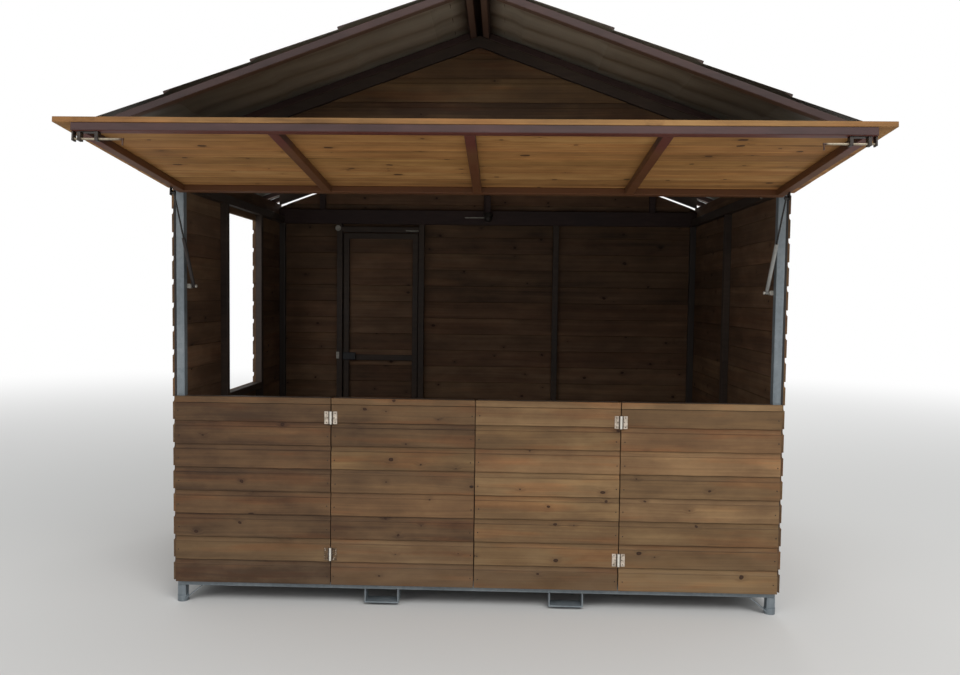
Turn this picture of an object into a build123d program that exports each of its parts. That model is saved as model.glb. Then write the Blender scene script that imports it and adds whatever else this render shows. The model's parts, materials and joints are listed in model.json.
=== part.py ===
from build123d import *
import math
import os

os.makedirs("parts", exist_ok=True)

# All sizes are in millimetres.
# While modelling, x runs to the right, y away from the front and z up from the ground.
# y is 0 on the outer face of the front boards, and x is 0 on the line between the front doors.

# Main sizes of the stall
steel_width = 2960.0
steel_depth = 1900.0
counter_height = 1035.0
post_top = 2050.0
board = 20.0
steel_setback = 5.0

# Steel sections
post = 40.0
tube = 40.0
base_tube = 50.0
top_rail_depth = 100.0
side_rail_depth = 50.0
rafter_depth = 30.0
chord_depth = 50.0
back_chord_depth = 65.0
ridge_tube = 30.0

# Base, feet and fork loops
foot_height = 83.0
pad_diameter = 54.0
pad_height = 30.0
gusset_thickness = 5.0
gusset_width = 45.0
gusset_reach = 86.0
gusset_drop = 71.0
bearer_spacing = 727.5
deck_thickness = 22.0
deck_gap = 5.0
clad_lap = 25.0
loop_offset = 457.0
loop_width = 170.0
loop_drop = 70.0
loop_strap = 7.0
loop_depth = 80.0

# Front panels and doors
door_line = 707.5
board_gap = 5.0
frame_gap = 7.5
running_gap = 5.0

# Serving flap
flap_tilt = 5.6
flap_frame_side_gap = 6.0
flap_rear_gap = 12.0
flap_frame_depth = 30.0
flap_edge_setback = 2.0
rib_offset = 710.0
flap_hinge_above_post = 25.0
flap_board_gap = 3.0
flap_hinge_spread = (-1100.0, -370.0, 370.0, 1100.0)

# Butt hinges
knuckle_radius = 6.0
knuckle_standoff = 0.5
pin_radius = 3.0
pin_clearance = 0.3
leaf_thickness = 3.0
leaf_width = 31.0
door_hinge_height = 62.0
flap_hinge_length = 100.0
knuckle_gap = 0.5
knuckles = 3
door_hinge_low = 263.0
door_hinge_high = 940.0

# Slide bolts of the flap
bolt_radius = 4.0
bolt_clearance = 0.5
bolt_standoff = 26.0
bolt_length = 188.0
bolt_tip_length = 22.0
bolt_tip_radius = 3.5
guide_thickness = 12.0
guide_insets = (92.0, 28.0)
guide_height = 24.0
guide_wall = 8.0
end_plate_inset = 8.0
end_plate_thickness = 6.0

# Gas struts of the flap
strut_inset = 22.0
strut_low_y = 78.0
strut_low_z = 1576.0
strut_reach = 150.0
strut_standoff = 26.0
strut_body_radius = 9.0
strut_body_start = 12.0
strut_body_length = 250.0
strut_rod_radius = 4.0
strut_rod_length = 272.0
strut_bore_floor = 60.0
strut_bore_clearance = 0.5
eye_radius = 8.0
eye_width = 14.0
stud_radius = 4.0
stud_clearance = 0.3
stud_side_gap = 2.0
lug_thickness = 4.0
lug_side_gap = 5.0
lug_half_width = 11.0
lug_margin = 12.0

# Left side opening, and the stud of the right wall
side_opening_front = 700.0
side_opening_back = 1320.0
side_sill = 970.0
side_head_drop = 35.0
side_wall_rise = 34.0
right_stud_place = 995.0

# Back wall and back door
back_door_inset = 435.0
back_door_width = 585.0
back_door_drop = 40.0
back_door_tube = 25.0
back_door_midrail = 1075.0
back_door_overlap = 20.0
back_stud_place = 495.0
back_door_hinges = (300.0, 1064.0, 1828.0)
latch_size = (90.0, 24.0, 50.0)
latch_height = 1105.0

# Roof
roof_pitch = 20.0
rafter_rise = 132.3
side_overhang = 165.0
front_overhang = 570.0
back_overhang = 200.0
sheet_overhang = 5.0
eaves_setback = 15.0
tile_step = 385.0
sheet_low = 6.0
sheet_high = 24.0
ridge_gap = 50.0
gable_board_gap = 10.0
back_upright_place = 1150.0
gable_board_lap = 30.0
back_gable_lap = 50.0
cap_leg = 120.0
cap_thickness = 4.0

# Places worked out from the sizes above
half_steel = steel_width / 2
steel_front = board + steel_setback
steel_back = steel_front + steel_depth
wall_back = steel_back + board
base_top = foot_height + base_tube
clad_bottom = base_top - clad_lap
deck_top = base_top + deck_thickness
post_inner = half_steel - post
wall_outer = half_steel + board
flap_half_width = wall_outer
flap_frame_half_width = post_inner - flap_frame_side_gap
bolt_outer_end = flap_frame_half_width
bolt_inner_end = bolt_outer_end - bolt_length
strut_x = flap_frame_half_width - strut_inset
front_frame_back = board + tube
flap_frame_back = board + flap_frame_depth
hinge_line_y = -(knuckle_radius + knuckle_standoff)
flap_hinge_z = post_top + flap_hinge_above_post
flap_bottom = counter_height + running_gap
flap_top = flap_hinge_z - flap_board_gap
flap_closing = 90.0 + flap_tilt
top_rail_top = post_top + top_rail_depth
side_wall_top = top_rail_top + side_wall_rise
side_head = post_top - side_head_drop
back_door_top = post_top - back_door_drop
gable_board_bottom = post_top + gable_board_lap
back_gable_bottom = post_top + back_gable_lap
pitch_rad = math.radians(roof_pitch)
roof_tan = math.tan(pitch_rad)
roof_cos = math.cos(pitch_rad)
roof_sin = math.sin(pitch_rad)
rafter_plane = top_rail_top + rafter_rise + half_steel * roof_tan
roof_half_width = half_steel + side_overhang
eaves_reach = roof_half_width / roof_cos
roof_front = -front_overhang
roof_back = wall_back + back_overhang
back_door_left = -half_steel + back_door_inset
back_door_right = back_door_left + back_door_width


def slab(x0, x1, y0, y1, z0, z1):
    """A box between two corners."""
    low = (min(x0, x1), min(y0, y1), min(z0, z1))
    size = (abs(x1 - x0), abs(y1 - y0), abs(z1 - z0))
    return Pos(*low) * Box(*size, align=(Align.MIN, Align.MIN, Align.MIN))


def outline_xz(points, y0, y1):
    """A closed outline in x and z, drawn out from y0 to y1."""
    face = make_face(Polyline(*[(x, y0, z) for x, z in points], close=True))
    return extrude(face, amount=y1 - y0, dir=(0, 1, 0))


def rod_between(start, end, radius):
    """A round bar between two points."""
    a = Vector(*start)
    b = Vector(*end)
    base = Plane(origin=a, z_dir=(b - a).normalized())
    return base * Cylinder(radius, (b - a).length, align=(Align.CENTER, Align.CENTER, Align.MIN))


def mirror_x(shape):
    """The same piece on the other side of the stall."""
    return mirror(shape, about=Plane.YZ)


def both_sides(shape):
    """The right-hand piece and its left-hand twin."""
    return [shape, mirror_x(shape)]


def fuse(*shapes):
    """One solid made of touching shapes."""
    result = shapes[0]
    for shape in shapes[1:]:
        result = result + shape
    return result


def slope_z(x, level):
    """Height of a line parallel to the roof, level millimetres above the rafters' top face."""
    return rafter_plane - abs(x) * roof_tan + level / roof_cos


def slope_point(along, level):
    """A point on the right-hand slope, along it from the ridge and level above the rafters."""
    x = along * roof_cos + level * roof_sin
    z = rafter_plane - along * roof_sin + level * roof_cos
    return (x, z)


def slope_bar(along0, along1, level0, level1, y0, y1):
    """A bar that lies in the right-hand slope."""
    corners = [(along0, level0), (along1, level0), (along1, level1), (along0, level1)]
    return outline_xz([slope_point(a, n) for a, n in corners], y0, y1)


def base_rails():
    front = slab(-half_steel, half_steel, steel_front, steel_front + base_tube, foot_height, base_top)
    back = slab(-half_steel, half_steel, steel_back - base_tube, steel_back, foot_height, base_top)
    return [front, back]


def base_bearers():
    end_place = half_steel - base_tube / 2
    places = [-end_place, -bearer_spacing, 0.0, bearer_spacing, end_place]
    y0 = steel_front + base_tube
    y1 = steel_back - base_tube
    half = base_tube / 2
    return [slab(x - half, x + half, y0, y1, foot_height, base_top) for x in places]


def corner_foot(y_place):
    """Right-hand foot: a box stub on a round pad, with a slanting strap gusset."""
    x_place = half_steel - post / 2
    stub = slab(x_place - post / 2, x_place + post / 2, y_place - post / 2, y_place + post / 2,
                pad_height, foot_height)
    pad = Pos(x_place, y_place, 0) * Cylinder(pad_diameter / 2, pad_height,
                                              align=(Align.CENTER, Align.CENTER, Align.MIN))
    inner = x_place - post / 2
    strap_rise = gusset_thickness * gusset_drop / gusset_reach
    strap = outline_xz([(inner - gusset_reach, foot_height),
                        (inner - gusset_reach + gusset_thickness, foot_height),
                        (inner + gusset_thickness, foot_height - gusset_drop),
                        (inner + gusset_thickness, foot_height - gusset_drop - strap_rise)],
                       y_place - gusset_width / 2, y_place + gusset_width / 2)
    return fuse(stub, pad, strap)


def corner_feet():
    front = corner_foot(steel_front + post / 2)
    back = corner_foot(steel_back - post / 2)
    return both_sides(front) + both_sides(back)


def fork_loop(x_place, y0, y1):
    """A flat strap bent into a square loop that hangs from a base rail."""
    outer = slab(x_place - loop_width / 2, x_place + loop_width / 2, y0, y1,
                 foot_height - loop_drop, foot_height)
    inner = slab(x_place - loop_width / 2 + loop_strap, x_place + loop_width / 2 - loop_strap, y0, y1,
                 foot_height - loop_drop + loop_strap, foot_height)
    return outer - inner


def fork_loops():
    front = fork_loop(loop_offset, steel_front, steel_front + loop_depth)
    back = fork_loop(loop_offset, steel_back - loop_depth, steel_back)
    return both_sides(front) + both_sides(back)


def floor_deck():
    return slab(-post_inner, post_inner, front_frame_back + deck_gap, steel_back - post - deck_gap,
                base_top, deck_top)


def corner_posts():
    front = slab(post_inner, half_steel, steel_front, steel_front + post, base_top, post_top)
    back = slab(post_inner, half_steel, steel_back - post, steel_back, base_top, post_top)
    return both_sides(front) + both_sides(back)


def top_long_rails():
    front = slab(-half_steel, half_steel, steel_front, steel_front + post, post_top, top_rail_top)
    back = slab(-half_steel, half_steel, steel_back - post, steel_back, post_top, top_rail_top)
    return [front, back]


def top_side_rails():
    side = slab(post_inner, half_steel, steel_front + post, steel_back - post,
                post_top, post_top + side_rail_depth)
    return both_sides(side)


def side_cladding(y0, y1, z0, z1):
    return slab(half_steel, wall_outer, y0, y1, z0, z1)


def wall_studs():
    """Upright tubes of the side walls and the back wall."""
    def side_stud(y0):
        return slab(post_inner, half_steel, y0, y0 + tube, base_top, post_top)

    left_front = mirror_x(side_stud(side_opening_front - tube))
    left_back = mirror_x(side_stud(side_opening_back))
    right = side_stud(right_stud_place - tube / 2)
    jamb_back = steel_back - steel_setback
    clear_left = back_door_left + back_door_overlap
    clear_right = back_door_right - back_door_overlap
    jamb_left = slab(clear_left - tube, clear_left, jamb_back - tube, jamb_back, base_top, post_top)
    jamb_right = slab(clear_right, clear_right + tube, jamb_back - tube, jamb_back, base_top, post_top)
    back_stud = slab(back_stud_place - tube / 2, back_stud_place + tube / 2, steel_back - tube, steel_back,
                     base_top, post_top)
    return [left_front, left_back, right, jamb_left, jamb_right, back_stud]


def wall_rails():
    """Sill rail of the side opening and head rail over the back door."""
    sill = mirror_x(slab(post_inner, half_steel, side_opening_front, side_opening_back,
                         side_sill - tube, side_sill))
    jamb_back = steel_back - steel_setback
    clear_top = back_door_top - back_door_overlap
    head = slab(back_door_left + back_door_overlap, back_door_right - back_door_overlap,
                jamb_back - tube, jamb_back, clear_top, clear_top + tube)
    return [sill, head]


def front_fixed_boards():
    inner = door_line + board_gap / 2
    return slab(inner, half_steel, 0, board, clad_bottom, counter_height)


def front_panel_stiles():
    inner = door_line + frame_gap
    near = slab(inner, inner + tube, board, front_frame_back, base_top, counter_height)
    far = slab(post_inner - tube, post_inner, board, front_frame_back, base_top, counter_height)
    return both_sides(near) + both_sides(far)


def front_panel_rails():
    x0 = door_line + frame_gap + tube
    x1 = post_inner - tube
    low = slab(x0, x1, board, front_frame_back, base_top, base_top + tube)
    high = slab(x0, x1, board, front_frame_back, counter_height - tube, counter_height)
    return both_sides(low) + both_sides(high)


def front_door_boards():
    return slab(board_gap / 2, door_line - board_gap / 2, 0, board, clad_bottom, counter_height)


def front_door_frame():
    x0 = frame_gap
    x1 = door_line - frame_gap
    z0 = base_top + running_gap
    outer = slab(x0, x1, board, front_frame_back, z0, counter_height)
    inner = slab(x0 + tube, x1 - tube, board, front_frame_back, z0 + tube, counter_height - tube)
    return outer - inner


def hinge_leaf(length, moving):
    """Half of a butt hinge. Its pin lies on the z axis, and its plate runs towards +x, flat on the
    face at y = knuckle_radius + knuckle_standoff. The fixed half has the outer knuckles and the pin."""
    face = knuckle_radius + knuckle_standoff
    half = length / 2
    middle = length / knuckles / 2
    clear = knuckle_radius + knuckle_standoff
    plate = slab(clear, leaf_width, face - leaf_thickness, face, -half, half)
    if moving:
        spans = [(-middle + knuckle_gap / 2, middle - knuckle_gap / 2)]
    else:
        spans = [(-half, -middle - knuckle_gap / 2), (middle + knuckle_gap / 2, half)]
    leaf = plate
    for z0, z1 in spans:
        barrel = Pos(0, 0, z0) * Cylinder(knuckle_radius, z1 - z0,
                                          align=(Align.CENTER, Align.CENTER, Align.MIN))
        web = slab(0, clear, face - leaf_thickness, face - knuckle_standoff, z0, z1)
        leaf = fuse(leaf, barrel, web)
    if moving:
        return leaf - Cylinder(pin_radius + pin_clearance, length)
    return fuse(leaf, Cylinder(pin_radius, length))


def door_hinge_leaves(x_pin, heights, towards, moving):
    """Leaves of a front door hinge. towards is 1 for plates on the +x side of the pin, or -1."""
    leaf = hinge_leaf(door_hinge_height, moving)
    if towards < 0:
        leaf = mirror_x(leaf)
    return [Pos(x_pin, hinge_line_y, z) * leaf for z in heights]


def back_hinge_leaves(towards, moving):
    """Leaves of the back door hinges, on the outer face of the back wall."""
    leaf = mirror(hinge_leaf(door_hinge_height, moving), about=Plane.XZ)
    if towards < 0:
        leaf = mirror_x(leaf)
    x_pin = back_door_right + board_gap / 2
    y_pin = wall_back - hinge_line_y
    return [Pos(x_pin, y_pin, z) * leaf for z in back_door_hinges]


def flap_leaves(moving):
    """Leaves of the flap hinges, as they lie when the flap is shut."""
    leaf = hinge_leaf(flap_hinge_length, moving)
    turn = Rot(0, 90, 0) if moving else Rot(0, -90, 0)
    return [Pos(x, hinge_line_y, flap_hinge_z) * turn * leaf for x in flap_hinge_spread]


def raise_flap(shape):
    """Moves a piece of the shut flap to where it is with the flap raised."""
    to_pin = Pos(0, -hinge_line_y, -flap_hinge_z)
    back = Pos(0, hinge_line_y, flap_hinge_z)
    return back * Rot(-flap_closing, 0, 0) * to_pin * shape


def flap_boards():
    return slab(-flap_half_width, flap_half_width, 0, board, flap_bottom, flap_top)


flap_low_rail = flap_bottom + flap_edge_setback
flap_high_rail = post_top - flap_rear_gap - tube


def flap_long_rails():
    x = flap_frame_half_width
    low = slab(-x, x, board, flap_frame_back, flap_low_rail, flap_low_rail + tube)
    high = slab(-x, x, board, flap_frame_back, flap_high_rail, flap_high_rail + tube)
    return [low, high]


def flap_ribs():
    end_place = flap_frame_half_width - tube / 2
    places = [-end_place, -rib_offset, 0.0, rib_offset, end_place]
    return [slab(x - tube / 2, x + tube / 2, board, flap_frame_back, flap_low_rail + tube, flap_high_rail)
            for x in places]


bolt_y = flap_frame_back + bolt_standoff
bolt_z = flap_low_rail + tube / 2


def flap_bolt_guides():
    def plate(x0, thickness):
        body = slab(x0, x0 + thickness, flap_frame_back, bolt_y + guide_wall,
                    bolt_z - guide_height / 2, bolt_z + guide_height / 2)
        bore = rod_between((x0 - thickness, bolt_y, bolt_z), (x0 + 2 * thickness, bolt_y, bolt_z),
                           bolt_radius + bolt_clearance)
        return body - bore

    frame_end = flap_frame_half_width
    pieces = [plate(frame_end - inset - guide_thickness / 2, guide_thickness) for inset in guide_insets]
    pieces.append(plate(frame_end - end_plate_inset, end_plate_thickness))
    return [twin for piece in pieces for twin in both_sides(piece)]


def flap_bolt():
    """Right-hand slide bolt: a round bar with its inner end bent down."""
    bar = rod_between((bolt_inner_end, bolt_y, bolt_z), (bolt_outer_end, bolt_y, bolt_z), bolt_radius)
    tip = rod_between((bolt_inner_end + bolt_radius, bolt_y, bolt_z),
                      (bolt_inner_end + bolt_radius, bolt_y + bolt_tip_length, bolt_z), bolt_tip_radius)
    return fuse(bar, tip)


strut_top_y = flap_frame_back + strut_standoff
strut_top_z = flap_hinge_z - strut_reach
eye_inner = strut_x - eye_width / 2
eye_outer = strut_x + eye_width / 2


def flap_strut_brackets():
    """Lug and stud on each end rib, which carry the upper end of a strut."""
    lug_x = eye_outer + lug_side_gap
    lug = slab(lug_x, lug_x + lug_thickness, flap_frame_back, strut_top_y + lug_margin,
               strut_top_z - lug_half_width, strut_top_z + lug_half_width)
    stud = rod_between((eye_inner, strut_top_y, strut_top_z), (lug_x, strut_top_y, strut_top_z), stud_radius)
    return both_sides(fuse(lug, stud))


def strut_post_brackets():
    """Angle on each front post, with a short stud beside the lower end of a strut."""
    post_back = steel_front + post
    lug_x = eye_outer + lug_side_gap
    foot = slab(lug_x, half_steel - lug_side_gap, post_back, post_back + lug_thickness,
                strut_low_z - lug_half_width, strut_low_z + lug_half_width)
    lug = slab(lug_x, lug_x + lug_thickness, post_back, strut_low_y + lug_margin,
               strut_low_z - lug_half_width, strut_low_z + lug_half_width)
    stud = rod_between((eye_outer + stud_side_gap, strut_low_y, strut_low_z),
                       (lug_x, strut_low_y, strut_low_z), stud_radius)
    return both_sides(fuse(foot, lug, stud))


def turned_about_flap_pin(y, z, degrees):
    """Where a point of the shut flap goes when the flap is opened by so many degrees."""
    angle = math.radians(-degrees)
    dy = y - hinge_line_y
    dz = z - flap_hinge_z
    return (hinge_line_y + dy * math.cos(angle) - dz * math.sin(angle),
            flap_hinge_z + dy * math.sin(angle) + dz * math.cos(angle))


raised_y, raised_z = turned_about_flap_pin(strut_top_y, strut_top_z, flap_closing)
strut_length = math.hypot(raised_y - strut_low_y, raised_z - strut_low_z)
strut_shut_length = math.hypot(strut_top_y - strut_low_y, strut_top_z - strut_low_z)
strut_y_step = (raised_y - strut_low_y) / strut_length
strut_z_step = (raised_z - strut_low_z) / strut_length


def strut_point(distance):
    """A point on the right-hand strut's axis, counted from its lower end, with the flap raised."""
    return (strut_x, strut_low_y + strut_y_step * distance, strut_low_z + strut_z_step * distance)


def cross_eye(distance):
    """The round end of a strut, which lies across it."""
    x, y, z = strut_point(distance)
    return rod_between((eye_inner, y, z), (eye_outer, y, z), eye_radius)


def strut_rod():
    x, y, z = strut_point(strut_length)
    rod_foot = strut_length - strut_rod_length
    bar = rod_between(strut_point(strut_length), strut_point(rod_foot), strut_rod_radius)
    bore = rod_between((eye_inner - eye_width, y, z), (eye_outer + eye_width, y, z),
                       stud_radius + stud_clearance)
    return fuse(bar, cross_eye(strut_length)) - bore


def strut_cylinder():
    body = rod_between(strut_point(0), strut_point(strut_body_start + strut_body_length), strut_body_radius)
    neck = rod_between(strut_point(0), strut_point(strut_body_start), strut_body_radius)
    slim_neck = rod_between(strut_point(0), strut_point(strut_body_start), strut_rod_radius)
    bore = rod_between(strut_point(strut_bore_floor), strut_point(strut_length),
                       strut_rod_radius + strut_bore_clearance)
    return fuse((body - neck) - bore, slim_neck, cross_eye(0))


def back_door_boards():
    return slab(back_door_left, back_door_right, steel_back, wall_back, base_top + running_gap, back_door_top)


back_frame_left = back_door_left + back_door_overlap + running_gap
back_frame_right = back_door_right - back_door_overlap - running_gap


def back_door_frame():
    y0 = steel_back - back_door_tube
    z0 = base_top + 2 * running_gap
    z1 = back_door_top - back_door_overlap - running_gap
    outer = slab(back_frame_left, back_frame_right, y0, steel_back, z0, z1)
    x0 = back_frame_left + tube
    x1 = back_frame_right - tube
    low_bay = slab(x0, x1, y0, steel_back, z0 + tube, back_door_midrail)
    high_bay = slab(x0, x1, y0, steel_back, back_door_midrail + tube, z1 - tube)
    return outer - low_bay - high_bay


def back_door_latch():
    """Lock box on the inner face of the door's free stile."""
    length, depth, height = latch_size
    y1 = steel_back - back_door_tube
    return slab(back_frame_left, back_frame_left + length, y1 - depth, y1,
                latch_height - height / 2, latch_height + height / 2)


def gable_boards(y0, y1, bottom, depth):
    """Boards of one gable. depth is that of the chord above them."""
    top_level = -(rafter_depth + depth)
    side = slope_z(half_steel, top_level) - gable_board_gap
    peak = slope_z(0, top_level) - gable_board_gap
    return outline_xz([(-half_steel, bottom), (half_steel, bottom), (half_steel, side), (0, peak),
                       (-half_steel, side)], y0, y1)


# Back and front face of each gable's frame, its chord's depth and where its side uprights start
gable_frame_rows = ((board, board + tube, chord_depth, post_inner),
                    (steel_back - tube, steel_back, back_chord_depth, back_upright_place))


def gable_chords():
    upper = -rafter_depth
    x = half_steel
    pieces = []
    for y0, y1, depth, inner in gable_frame_rows:
        lower = -(rafter_depth + depth)
        outline = [(0, slope_z(0, upper)), (x, slope_z(x, upper)), (x, slope_z(x, lower)),
                   (0, slope_z(0, lower)), (-x, slope_z(x, lower)), (-x, slope_z(x, upper))]
        pieces.append(outline_xz(outline, y0, y1))
    return pieces


def gable_uprights():
    """King post and two side uprights in each gable."""
    half = tube / 2
    pieces = []
    for y0, y1, depth, inner in gable_frame_rows:
        lower = -(rafter_depth + depth)
        outer = inner + tube
        king = outline_xz([(-half, top_rail_top), (half, top_rail_top), (half, slope_z(half, lower)),
                           (0, slope_z(0, lower)), (-half, slope_z(half, lower))], y0, y1)
        side = outline_xz([(inner, top_rail_top), (outer, top_rail_top), (outer, slope_z(outer, lower)),
                           (inner, slope_z(inner, lower))], y0, y1)
        pieces += [king] + both_sides(side)
    return pieces


ridge_start = ridge_gap / 2 / roof_cos
ridge_end = ridge_start + ridge_tube
eaves_end = eaves_reach - eaves_setback
eaves_start = eaves_end - ridge_tube


def rafters():
    middle = (steel_front + steel_back) / 2
    rows = [roof_front, board, middle - tube / 2, steel_back - tube, roof_back - tube]
    pieces = []
    for y0 in rows:
        pieces += both_sides(slope_bar(ridge_end, eaves_start, -rafter_depth, 0, y0, y0 + tube))
    return pieces


def roof_long_rails():
    """The pair of ridge rails and the pair of eaves rails."""
    ridge = slope_bar(ridge_start, ridge_end, -rafter_depth, 0, roof_front, roof_back)
    eaves = slope_bar(eaves_start, eaves_end, -rafter_depth, 0, roof_front, roof_back)
    return both_sides(ridge) + both_sides(eaves)


def sheet_level(along):
    """Height of the tile sheet's top face above the rafters, this far down the slope."""
    into_step = (eaves_reach - along) % tile_step
    return sheet_high - (sheet_high - sheet_low) * into_step / tile_step


def roof_sheet():
    """Right-hand tile sheet: each step rises towards its lower edge, then drops to the next."""
    points = [(eaves_reach, 0), (eaves_reach, sheet_high)]
    along = eaves_reach - tile_step
    while along > 0:
        points.append((along, sheet_low))
        points.append((along, sheet_high))
        along -= tile_step
    past_ridge = -sheet_high
    points.append((past_ridge, sheet_level(past_ridge)))
    points.append((past_ridge, 0))
    y0 = roof_front - sheet_overhang
    y1 = roof_back + sheet_overhang
    whole = outline_xz([slope_point(a, n) for a, n in points], y0, y1)
    eaves_x = slope_point(eaves_reach, sheet_high)[0]
    return whole & slab(0, eaves_x, y0, y1, 0, slope_z(0, sheet_high))


def ridge_cap():
    """Folded cap that lies on the highest places of both sheets next to the ridge."""
    first_step = eaves_reach % tile_step
    under = sheet_high if first_step < cap_leg else sheet_level(cap_leg)
    over = under + cap_thickness
    end = slope_point(cap_leg, under)
    end_top = slope_point(cap_leg, over)
    outline = [(0, slope_z(0, under)), end, end_top, (0, slope_z(0, over)),
               (-end_top[0], end_top[1]), (-end[0], end[1])]
    return outline_xz(outline, roof_front - sheet_overhang, roof_back + sheet_overhang)


nodes = {
    "base_long_rails": base_rails(),
    "base_cross_bearers": base_bearers(),
    "corner_feet": corner_feet(),
    "fork_loops": fork_loops(),
    "floor_deck": [floor_deck()],
    "corner_posts": corner_posts(),
    "top_long_rails": top_long_rails(),
    "top_side_rails": top_side_rails(),
    "left_wall_below_opening": [mirror_x(side_cladding(steel_front, wall_back, clad_bottom, side_sill))],
    "left_wall_front": [mirror_x(side_cladding(steel_front, side_opening_front, side_sill, side_wall_top))],
    "left_wall_rear": [mirror_x(side_cladding(side_opening_back, wall_back, side_sill, side_wall_top))],
    "left_wall_over_opening": [mirror_x(side_cladding(side_opening_front, side_opening_back,
                                                      side_head, side_wall_top))],
    "right_wall": [side_cladding(steel_front, wall_back, clad_bottom, side_wall_top)],
    "wall_studs": wall_studs(),
    "wall_rails": wall_rails(),
    "back_wall_left": [slab(-half_steel, back_door_left - board_gap, steel_back, wall_back,
                            clad_bottom, back_door_top + board_gap)],
    "back_wall_right": [slab(back_door_right + board_gap, half_steel, steel_back, wall_back,
                             clad_bottom, back_door_top + board_gap)],
    "back_wall_over_door": [slab(-half_steel, half_steel, steel_back, wall_back,
                                 back_door_top + board_gap, back_gable_bottom)],
    "front_left_boards": [mirror_x(front_fixed_boards())],
    "front_right_boards": [front_fixed_boards()],
    "front_panel_stiles": front_panel_stiles(),
    "front_panel_rails": front_panel_rails(),
    "front_gable_boards": [gable_boards(0, board, gable_board_bottom, chord_depth)],
    "back_gable_boards": [gable_boards(steel_back, wall_back, back_gable_bottom, back_chord_depth)],
    "gable_chords": gable_chords(),
    "gable_uprights": gable_uprights(),
    "rafters": rafters(),
    "roof_long_rails": roof_long_rails(),
    "left_roof_sheet": [mirror_x(roof_sheet())],
    "right_roof_sheet": [roof_sheet()],
    "ridge_cap": [ridge_cap()],
    "door_hinge_plates": (door_hinge_leaves(door_line, (door_hinge_low, door_hinge_high), 1, False)
                          + door_hinge_leaves(-door_line, (door_hinge_low, door_hinge_high), -1, False)
                          + back_hinge_leaves(1, False)),
    "flap_hinge_plates": flap_leaves(False),
    "strut_post_brackets": strut_post_brackets(),
    "flap_boards": [raise_flap(flap_boards())],
    "flap_long_rails": [raise_flap(piece) for piece in flap_long_rails()],
    "flap_ribs": [raise_flap(piece) for piece in flap_ribs()],
    "flap_hinge_leaves": [raise_flap(piece) for piece in flap_leaves(True)],
    "flap_bolt_guides": [raise_flap(piece) for piece in flap_bolt_guides()],
    "flap_strut_brackets": [raise_flap(piece) for piece in flap_strut_brackets()],
    "right_flap_bolt": [raise_flap(flap_bolt())],
    "left_flap_bolt": [raise_flap(mirror_x(flap_bolt()))],
    "right_strut_rod": [strut_rod()],
    "left_strut_rod": [mirror_x(strut_rod())],
    "right_strut_cylinder": [strut_cylinder()],
    "left_strut_cylinder": [mirror_x(strut_cylinder())],
    "right_door_boards": [front_door_boards()],
    "left_door_boards": [mirror_x(front_door_boards())],
    "right_door_frame": [front_door_frame()],
    "left_door_frame": [mirror_x(front_door_frame())],
    "right_door_hinge_leaves": door_hinge_leaves(door_line, (door_hinge_low, door_hinge_high), -1, True),
    "left_door_hinge_leaves": door_hinge_leaves(-door_line, (door_hinge_low, door_hinge_high), 1, True),
    "back_door_boards": [back_door_boards()],
    "back_door_frame": [back_door_frame()],
    "back_door_hinge_leaves": back_hinge_leaves(-1, True),
    "back_door_latch": [back_door_latch()],
}

# The origin goes to the middle of the ground area that the whole stall covers.
flap_tip_y, flap_tip_z = turned_about_flap_pin(board, flap_bottom, flap_closing)
rail_tip_y, rail_tip_z = turned_about_flap_pin(flap_frame_back, flap_low_rail, flap_closing)
front_reach = min(flap_tip_y, rail_tip_y)
back_reach = roof_back + sheet_overhang
middle_y = (front_reach + back_reach) / 2
to_origin = Pos(0, -middle_y, 0)

for name, pieces in nodes.items():
    placed = [to_origin * piece for piece in pieces]
    solids = [solid for piece in placed for solid in piece.solids()]
    export_step(Compound(children=solids) if len(solids) > 1 else solids[0], f"parts/{name}.step")

print("middle_y", round(middle_y, 4))
print("flap pin y z", round(hinge_line_y - middle_y, 4), flap_hinge_z)
print("strut top y z", round(raised_y - middle_y, 4), round(raised_z, 4))
print("strut lengths", round(strut_length, 4), round(strut_shut_length, 4))
print("strut step y z", round(strut_y_step, 6), round(strut_z_step, 6))
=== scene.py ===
import json
import math
from dataclasses import dataclass

import bmesh
import bpy
import numpy as np
from mathutils import Matrix, Vector


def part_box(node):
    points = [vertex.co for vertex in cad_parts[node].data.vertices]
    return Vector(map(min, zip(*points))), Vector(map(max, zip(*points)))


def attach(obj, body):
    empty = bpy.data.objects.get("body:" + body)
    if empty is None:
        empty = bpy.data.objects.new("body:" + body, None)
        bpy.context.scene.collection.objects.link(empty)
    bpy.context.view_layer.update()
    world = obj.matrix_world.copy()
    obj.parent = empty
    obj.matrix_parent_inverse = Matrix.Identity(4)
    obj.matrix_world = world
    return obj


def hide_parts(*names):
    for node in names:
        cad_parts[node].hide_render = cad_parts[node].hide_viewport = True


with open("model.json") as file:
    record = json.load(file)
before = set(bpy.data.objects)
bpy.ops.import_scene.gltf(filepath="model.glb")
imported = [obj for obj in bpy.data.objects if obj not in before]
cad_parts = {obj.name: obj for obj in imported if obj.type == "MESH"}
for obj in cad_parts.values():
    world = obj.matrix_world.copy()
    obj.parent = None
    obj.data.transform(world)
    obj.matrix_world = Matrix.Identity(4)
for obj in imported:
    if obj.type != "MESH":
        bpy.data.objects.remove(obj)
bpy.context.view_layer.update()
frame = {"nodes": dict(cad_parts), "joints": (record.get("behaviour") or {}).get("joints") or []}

# Sizes are in metres. x runs to the right, y away from the front and z up from the ground.

# Cladding boards, as a section with d inwards from the outer face and h up from the lower edge
course_pitch = 0.1153
first_course = 0.109
face_height = 0.088
scoop_height = 0.017
scoop_depth = 0.0075
thickness = 0.020
tongue_rise = 0.007
rebate_top = tongue_rise + 0.001
seam_chamfer = 0.0017
station_step = 0.04
bow_depth = 0.0014
nibble_height = 0.0006

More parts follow.
